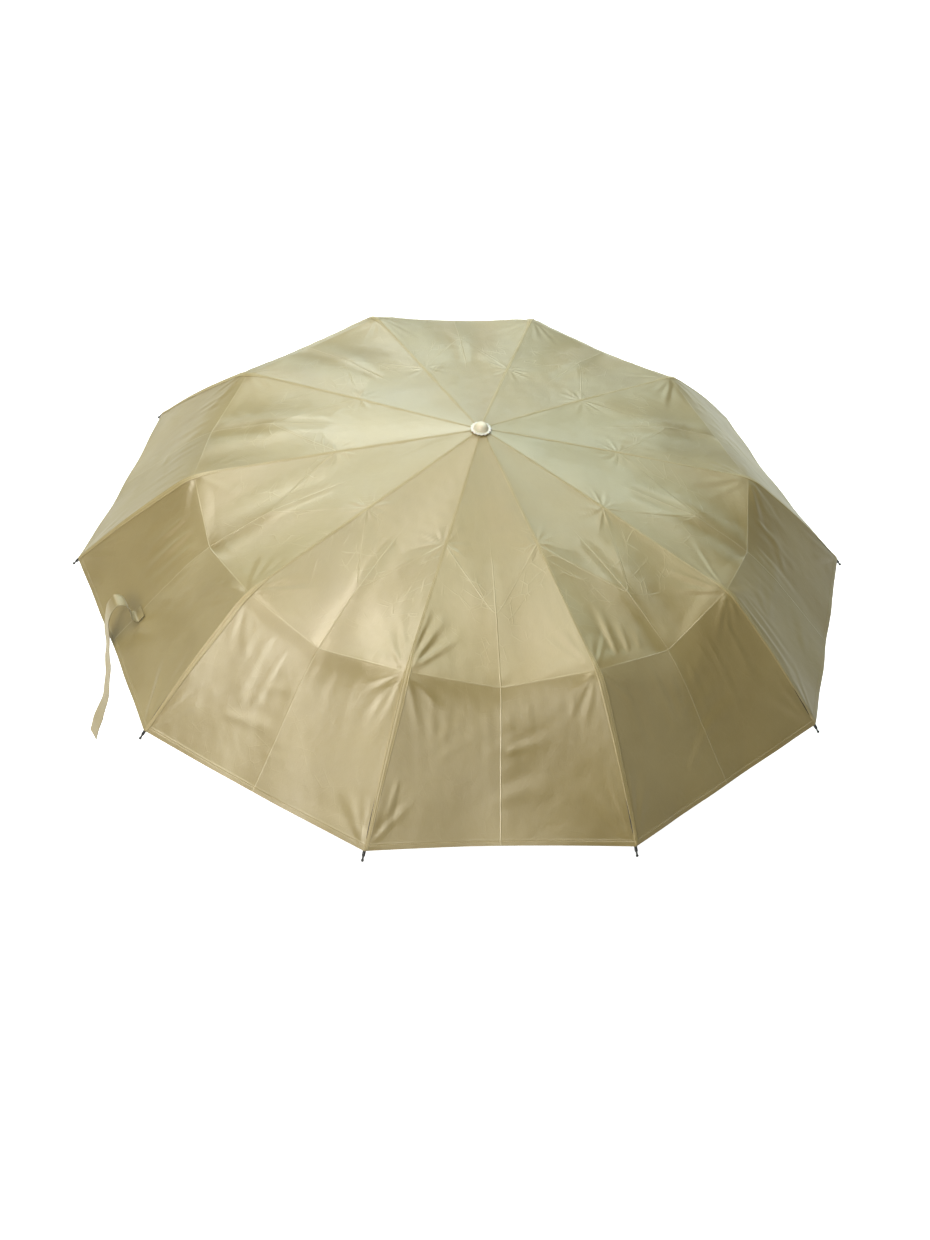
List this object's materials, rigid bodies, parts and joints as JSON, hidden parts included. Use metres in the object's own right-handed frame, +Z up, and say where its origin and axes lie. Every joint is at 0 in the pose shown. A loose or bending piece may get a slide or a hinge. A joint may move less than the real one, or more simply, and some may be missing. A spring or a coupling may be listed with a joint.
{
  "type": "folding umbrella",
  "caption": "Three-fold automatic umbrella, open: gore canopy on folding ribs, runner, telescoping shaft, straight grip with push button, tie strap.",
  "frame": {"origin": "centre of the handle's bottom face, on the shaft's axis", "axes": "+Z up along the shaft to the cap; +X along the first rib; -Y to the front, where the push button is"},
  "size_m": [1.0406, 0.9898, 0.6272],
  "materials": {
    "canopy_fabric": "satin",
    "fastener_tape": "matt",
    "grip_rubber": "matt",
    "black_plastic": "satin",
    "bright_metal": "polished",
    "shaft_metal": "satin",
    "rib_metal": "satin",
    "rod_black": "gloss",
    "cap_plastic": "gloss",
    "ring_plastic": "gloss"
  },
  "bodies": {
    "handle": {"handle_grip": "grip_rubber", "handle_end_cap": "black_plastic", "handle_collar": "bright_metal", "button_bezel": "bright_metal", "lower_tube": "shaft_metal", "lower_bush": "black_plastic"},
    "button": {"push_button": "bright_metal"},
    "middle_shaft": {"middle_tube": "shaft_metal", "middle_bush": "black_plastic"},
    "top": {"upper_tube": "shaft_metal", "crown": "black_plastic", "crown_pins": "bright_metal", "cap": "cap_plastic", "cap_ring": "ring_plastic", "canopy": "canopy_fabric", "tie_strap": "canopy_fabric", "strap_fastener": "fastener_tape"},
    "runner": {"runner": "black_plastic", "runner_pins": "bright_metal"},
    "top_rib_01": {"top_rib_01": "rib_metal"},
    "stretcher_01": {"stretcher_01": "rib_metal"},
    "middle_rib_01": {"middle_rib_01": "rib_metal"},
    "outer_rib_01": {"outer_rib_01": "rod_black"},
    "top_rib_02": {"top_rib_02": "rib_metal"},
    "stretcher_02": {"stretcher_02": "rib_metal"},
    "middle_rib_02": {"middle_rib_02": "rib_metal"},
    "outer_rib_02": {"outer_rib_02": "rod_black"},
    "top_rib_03": {"top_rib_03": "rib_metal"},
    "stretcher_03": {"stretcher_03": "rib_metal"},
    "middle_rib_03": {"middle_rib_03": "rib_metal"},
    "outer_rib_03": {"outer_rib_03": "rod_black"},
    "top_rib_04": {"top_rib_04": "rib_metal"},
    "stretcher_04": {"stretcher_04": "rib_metal"},
    "middle_rib_04": {"middle_rib_04": "rib_metal"},
    "outer_rib_04": {"outer_rib_04": "rod_black"},
    "top_rib_05": {"top_rib_05": "rib_metal"},
    "stretcher_05": {"stretcher_05": "rib_metal"},
    "middle_rib_05": {"middle_rib_05": "rib_metal"},
    "outer_rib_05": {"outer_rib_05": "rod_black"},
    "top_rib_06": {"top_rib_06": "rib_metal"},
    "stretcher_06": {"stretcher_06": "rib_metal"},
    "middle_rib_06": {"middle_rib_06": "rib_metal"},
    "outer_rib_06": {"outer_rib_06": "rod_black"},
    "top_rib_07": {"top_rib_07": "rib_metal"},
    "stretcher_07": {"stretcher_07": "rib_metal"},
    "middle_rib_07": {"middle_rib_07": "rib_metal"},
    "outer_rib_07": {"outer_rib_07": "rod_black"},
    "top_rib_08": {"top_rib_08": "rib_metal"},
    "stretcher_08": {"stretcher_08": "rib_metal"},
    "middle_rib_08": {"middle_rib_08": "rib_metal"},
    "outer_rib_08": {"outer_rib_08": "rod_black"},
    "top_rib_09": {"top_rib_09": "rib_metal"},
    "stretcher_09": {"stretcher_09": "rib_metal"},
    "middle_rib_09": {"middle_rib_09": "rib_metal"},
    "outer_rib_09": {"outer_rib_09": "rod_black"},
    "top_rib_10": {"top_rib_10": "rib_metal"},
    "stretcher_10": {"stretcher_10": "rib_metal"},
    "middle_rib_10": {"middle_rib_10": "rib_metal"},
    "outer_rib_10": {"outer_rib_10": "rod_black"}
  },
  "joints": [
    {"name": "shaft_lower_slide", "type": "slide", "parent": "handle", "child": "middle_shaft", "axis": [0, 0, 1], "range_m": [-0.156, 0]},
    {"name": "shaft_upper_slide", "type": "slide", "parent": "middle_shaft", "child": "top", "axis": [0, 0, 1], "range_m": [-0.156, 0]},
    {"name": "runner_slide", "type": "slide", "parent": "top", "child": "runner", "axis": [0, 0, -1], "range_m": [0, 0.11179], "deforming": ["canopy", "tie_strap"]},
    {"name": "button_press", "type": "slide", "parent": "handle", "child": "button", "axis": [0, 1, 0], "range_m": [0, 0.0018], "stiffness_N_per_m": 1500, "springref_m": -0.001},
    {"name": "top_rib_01_hinge", "type": "hinge", "parent": "top", "child": "top_rib_01", "pos_m": [0.012, 0, 0.612], "axis": [0, -1, 0], "range_deg": [-77.44, 0]},
    {"name": "stretcher_01_hinge", "type": "hinge", "parent": "runner", "child": "stretcher_01", "pos_m": [0.014, 0, 0.53079], "axis": [0, -1, 0], "range_deg": [0, 53.81]},
    {"name": "middle_rib_01_hinge", "type": "hinge", "parent": "top_rib_01", "child": "middle_rib_01", "pos_m": [0.1807, 0, 0.57839], "axis": [0, -1, 0], "range_deg": [0, 178.49]},
    {"name": "outer_rib_01_hinge", "type": "hinge", "parent": "middle_rib_01", "child": "outer_rib_01", "pos_m": [0.35018, 0, 0.53787], "axis": [0, -1, 0], "range_deg": [-148.57, 0]},
    {"name": "top_rib_02_hinge", "type": "hinge", "parent": "top", "child": "top_rib_02", "pos_m": [0.00971, 0.00705, 0.612], "axis": [0.5878, -0.809, 0], "range_deg": [-77.44, 0]},
    {"name": "stretcher_02_hinge", "type": "hinge", "parent": "runner", "child": "stretcher_02", "pos_m": [0.01133, 0.00823, 0.53079], "axis": [0.5878, -0.809, 0], "range_deg": [0, 53.81]},
    {"name": "middle_rib_02_hinge", "type": "hinge", "parent": "top_rib_02", "child": "middle_rib_02", "pos_m": [0.14619, 0.10621, 0.57839], "axis": [0.5878, -0.809, 0], "range_deg": [0, 178.49]},
    {"name": "outer_rib_02_hinge", "type": "hinge", "parent": "middle_rib_02", "child": "outer_rib_02", "pos_m": [0.2833, 0.20583, 0.53787], "axis": [0.5878, -0.809, 0], "range_deg": [-148.57, 0]},
    {"name": "top_rib_03_hinge", "type": "hinge", "parent": "top", "child": "top_rib_03", "pos_m": [0.00371, 0.01141, 0.612], "axis": [0.9511, -0.309, 0], "range_deg": [-77.44, 0]},
    {"name": "stretcher_03_hinge", "type": "hinge", "parent": "runner", "child": "stretcher_03", "pos_m": [0.00433, 0.01331, 0.53079], "axis": [0.9511, -0.309, 0], "range_deg": [0, 53.81]},
    {"name": "middle_rib_03_hinge", "type": "hinge", "parent": "top_rib_03", "child": "middle_rib_03", "pos_m": [0.05584, 0.17185, 0.57839], "axis": [0.9511, -0.309, 0], "range_deg": [0, 178.49]},
    {"name": "outer_rib_03_hinge", "type": "hinge", "parent": "middle_rib_03", "child": "outer_rib_03", "pos_m": [0.10821, 0.33304, 0.53787], "axis": [0.9511, -0.309, 0], "range_deg": [-148.57, 0]},
    {"name": "top_rib_04_hinge", "type": "hinge", "parent": "top", "child": "top_rib_04", "pos_m": [-0.00371, 0.01141, 0.612], "axis": [0.9511, 0.309, 0], "range_deg": [-77.44, 0]},
    {"name": "stretcher_04_hinge", "type": "hinge", "parent": "runner", "child": "stretcher_04", "pos_m": [-0.00433, 0.01331, 0.53079], "axis": [0.9511, 0.309, 0], "range_deg": [0, 53.81]},
    {"name": "middle_rib_04_hinge", "type": "hinge", "parent": "top_rib_04", "child": "middle_rib_04", "pos_m": [-0.05584, 0.17185, 0.57839], "axis": [0.9511, 0.309, 0], "range_deg": [0, 178.49]},
    {"name": "outer_rib_04_hinge", "type": "hinge", "parent": "middle_rib_04", "child": "outer_rib_04", "pos_m": [-0.10821, 0.33304, 0.53787], "axis": [0.9511, 0.309, 0], "range_deg": [-148.57, 0]},
    {"name": "top_rib_05_hinge", "type": "hinge", "parent": "top", "child": "top_rib_05", "pos_m": [-0.00971, 0.00705, 0.612], "axis": [0.5878, 0.809, 0], "range_deg": [-77.44, 0]},
    {"name": "stretcher_05_hinge", "type": "hinge", "parent": "runner", "child": "stretcher_05", "pos_m": [-0.01133, 0.00823, 0.53079], "axis": [0.5878, 0.809, 0], "range_deg": [0, 53.81]},
    {"name": "middle_rib_05_hinge", "type": "hinge", "parent": "top_rib_05", "child": "middle_rib_05", "pos_m": [-0.14619, 0.10621, 0.57839], "axis": [0.5878, 0.809, 0], "range_deg": [0, 178.49]},
    {"name": "outer_rib_05_hinge", "type": "hinge", "parent": "middle_rib_05", "child": "outer_rib_05", "pos_m": [-0.2833, 0.20583, 0.53787], "axis": [0.5878, 0.809, 0], "range_deg": [-148.57, 0]},
    {"name": "top_rib_06_hinge", "type": "hinge", "parent": "top", "child": "top_rib_06", "pos_m": [-0.012, 0, 0.612], "axis": [0, 1, 0], "range_deg": [-77.44, 0]},
    {"name": "stretcher_06_hinge", "type": "hinge", "parent": "runner", "child": "stretcher_06", "pos_m": [-0.014, 0, 0.53079], "axis": [0, 1, 0], "range_deg": [0, 53.81]},
    {"name": "middle_rib_06_hinge", "type": "hinge", "parent": "top_rib_06", "child": "middle_rib_06", "pos_m": [-0.1807, 0, 0.57839], "axis": [0, 1, 0], "range_deg": [0, 178.49]},
    {"name": "outer_rib_06_hinge", "type": "hinge", "parent": "middle_rib_06", "child": "outer_rib_06", "pos_m": [-0.35018, 0, 0.53787], "axis": [0, 1, 0], "range_deg": [-148.57, 0]},
    {"name": "top_rib_07_hinge", "type": "hinge", "parent": "top", "child": "top_rib_07", "pos_m": [-0.00971, -0.00705, 0.612], "axis": [-0.5878, 0.809, 0], "range_deg": [-77.44, 0]},
    {"name": "stretcher_07_hinge", "type": "hinge", "parent": "runner", "child": "stretcher_07", "pos_m": [-0.01133, -0.00823, 0.53079], "axis": [-0.5878, 0.809, 0], "range_deg": [0, 53.81]},
    {"name": "middle_rib_07_hinge", "type": "hinge", "parent": "top_rib_07", "child": "middle_rib_07", "pos_m": [-0.14619, -0.10621, 0.57839], "axis": [-0.5878, 0.809, 0], "range_deg": [0, 178.49]},
    {"name": "outer_rib_07_hinge", "type": "hinge", "parent": "middle_rib_07", "child": "outer_rib_07", "pos_m": [-0.2833, -0.20583, 0.53787], "axis": [-0.5878, 0.809, 0], "range_deg": [-148.57, 0]},
    {"name": "top_rib_08_hinge", "type": "hinge", "parent": "top", "child": "top_rib_08", "pos_m": [-0.00371, -0.01141, 0.612], "axis": [-0.9511, 0.309, 0], "range_deg": [-77.44, 0]},
    {"name": "stretcher_08_hinge", "type": "hinge", "parent": "runner", "child": "stretcher_08", "pos_m": [-0.00433, -0.01331, 0.53079], "axis": [-0.9511, 0.309, 0], "range_deg": [0, 53.81]},
    {"name": "middle_rib_08_hinge", "type": "hinge", "parent": "top_rib_08", "child": "middle_rib_08", "pos_m": [-0.05584, -0.17185, 0.57839], "axis": [-0.9511, 0.309, 0], "range_deg": [0, 178.49]},
    {"name": "outer_rib_08_hinge", "type": "hinge", "parent": "middle_rib_08", "child": "outer_rib_08", "pos_m": [-0.10821, -0.33304, 0.53787], "axis": [-0.9511, 0.309, 0], "range_deg": [-148.57, 0]},
    {"name": "top_rib_09_hinge", "type": "hinge", "parent": "top", "child": "top_rib_09", "pos_m": [0.00371, -0.01141, 0.612], "axis": [-0.9511, -0.309, 0], "range_deg": [-77.44, 0]},
    {"name": "stretcher_09_hinge", "type": "hinge", "parent": "runner", "child": "stretcher_09", "pos_m": [0.00433, -0.01331, 0.53079], "axis": [-0.9511, -0.309, 0], "range_deg": [0, 53.81]},
    {"name": "middle_rib_09_hinge", "type": "hinge", "parent": "top_rib_09", "child": "middle_rib_09", "pos_m": [0.05584, -0.17185, 0.57839], "axis": [-0.9511, -0.309, 0], "range_deg": [0, 178.49]},
    {"name": "outer_rib_09_hinge", "type": "hinge", "parent": "middle_rib_09", "child": "outer_rib_09", "pos_m": [0.10821, -0.33304, 0.53787], "axis": [-0.9511, -0.309, 0], "range_deg": [-148.57, 0]},
    {"name": "top_rib_10_hinge", "type": "hinge", "parent": "top", "child": "top_rib_10", "pos_m": [0.00971, -0.00705, 0.612], "axis": [-0.5878, -0.809, 0], "range_deg": [-77.44, 0]},
    {"name": "stretcher_10_hinge", "type": "hinge", "parent": "runner", "child": "stretcher_10", "pos_m": [0.01133, -0.00823, 0.53079], "axis": [-0.5878, -0.809, 0], "range_deg": [0, 53.81]},
    {"name": "middle_rib_10_hinge", "type": "hinge", "parent": "top_rib_10", "child": "middle_rib_10", "pos_m": [0.14619, -0.10621, 0.57839], "axis": [-0.5878, -0.809, 0], "range_deg": [0, 178.49]},
    {"name": "outer_rib_10_hinge", "type": "hinge", "parent": "middle_rib_10", "child": "outer_rib_10", "pos_m": [0.2833, -0.20583, 0.53787], "axis": [-0.5878, -0.809, 0], "range_deg": [-148.57, 0]}
  ],
  "couplings": [
    {"joint": "shaft_upper_slide", "follows": "shaft_lower_slide", "ratio": 1},
    {"joint": "top_rib_01_hinge", "follows": "runner_slide", "rad_per_m": -12.084},
    {"joint": "stretcher_01_hinge", "follows": "runner_slide", "rad_per_m": 8.3967},
    {"joint": "middle_rib_01_hinge", "follows": "runner_slide", "rad_per_m": 27.853},
    {"joint": "outer_rib_01_hinge", "follows": "runner_slide", "rad_per_m": -23.185},
    {"joint": "top_rib_02_hinge", "follows": "runner_slide", "rad_per_m": -12.084},
    {"joint": "stretcher_02_hinge", "follows": "runner_slide", "rad_per_m": 8.3967},
    {"joint": "middle_rib_02_hinge", "follows": "runner_slide", "rad_per_m": 27.853},
    {"joint": "outer_rib_02_hinge", "follows": "runner_slide", "rad_per_m": -23.185},
    {"joint": "top_rib_03_hinge", "follows": "runner_slide", "rad_per_m": -12.084},
    {"joint": "stretcher_03_hinge", "follows": "runner_slide", "rad_per_m": 8.3967},
    {"joint": "middle_rib_03_hinge", "follows": "runner_slide", "rad_per_m": 27.853},
    {"joint": "outer_rib_03_hinge", "follows": "runner_slide", "rad_per_m": -23.185},
    {"joint": "top_rib_04_hinge", "follows": "runner_slide", "rad_per_m": -12.084},
    {"joint": "stretcher_04_hinge", "follows": "runner_slide", "rad_per_m": 8.3967},
    {"joint": "middle_rib_04_hinge", "follows": "runner_slide", "rad_per_m": 27.853},
    {"joint": "outer_rib_04_hinge", "follows": "runner_slide", "rad_per_m": -23.185},
    {"joint": "top_rib_05_hinge", "follows": "runner_slide", "rad_per_m": -12.084},
    {"joint": "stretcher_05_hinge", "follows": "runner_slide", "rad_per_m": 8.3967},
    {"joint": "middle_rib_05_hinge", "follows": "runner_slide", "rad_per_m": 27.853},
    {"joint": "outer_rib_05_hinge", "follows": "runner_slide", "rad_per_m": -23.185},
    {"joint": "top_rib_06_hinge", "follows": "runner_slide", "rad_per_m": -12.084},
    {"joint": "stretcher_06_hinge", "follows": "runner_slide", "rad_per_m": 8.3967},
    {"joint": "middle_rib_06_hinge", "follows": "runner_slide", "rad_per_m": 27.853},
    {"joint": "outer_rib_06_hinge", "follows": "runner_slide", "rad_per_m": -23.185},
    {"joint": "top_rib_07_hinge", "follows": "runner_slide", "rad_per_m": -12.084},
    {"joint": "stretcher_07_hinge", "follows": "runner_slide", "rad_per_m": 8.3967},
    {"joint": "middle_rib_07_hinge", "follows": "runner_slide", "rad_per_m": 27.853},
    {"joint": "outer_rib_07_hinge", "follows": "runner_slide", "rad_per_m": -23.185},
    {"joint": "top_rib_08_hinge", "follows": "runner_slide", "rad_per_m": -12.084},
    {"joint": "stretcher_08_hinge", "follows": "runner_slide", "rad_per_m": 8.3967},
    {"joint": "middle_rib_08_hinge", "follows": "runner_slide", "rad_per_m": 27.853},
    {"joint": "outer_rib_08_hinge", "follows": "runner_slide", "rad_per_m": -23.185},
    {"joint": "top_rib_09_hinge", "follows": "runner_slide", "rad_per_m": -12.084},
    {"joint": "stretcher_09_hinge", "follows": "runner_slide", "rad_per_m": 8.3967},
    {"joint": "middle_rib_09_hinge", "follows": "runner_slide", "rad_per_m": 27.853},
    {"joint": "outer_rib_09_hinge", "follows": "runner_slide", "rad_per_m": -23.185},
    {"joint": "top_rib_10_hinge", "follows": "runner_slide", "rad_per_m": -12.084},
    {"joint": "stretcher_10_hinge", "follows": "runner_slide", "rad_per_m": 8.3967},
    {"joint": "middle_rib_10_hinge", "follows": "runner_slide", "rad_per_m": 27.853},
    {"joint": "outer_rib_10_hinge", "follows": "runner_slide", "rad_per_m": -23.185}
  ]
}
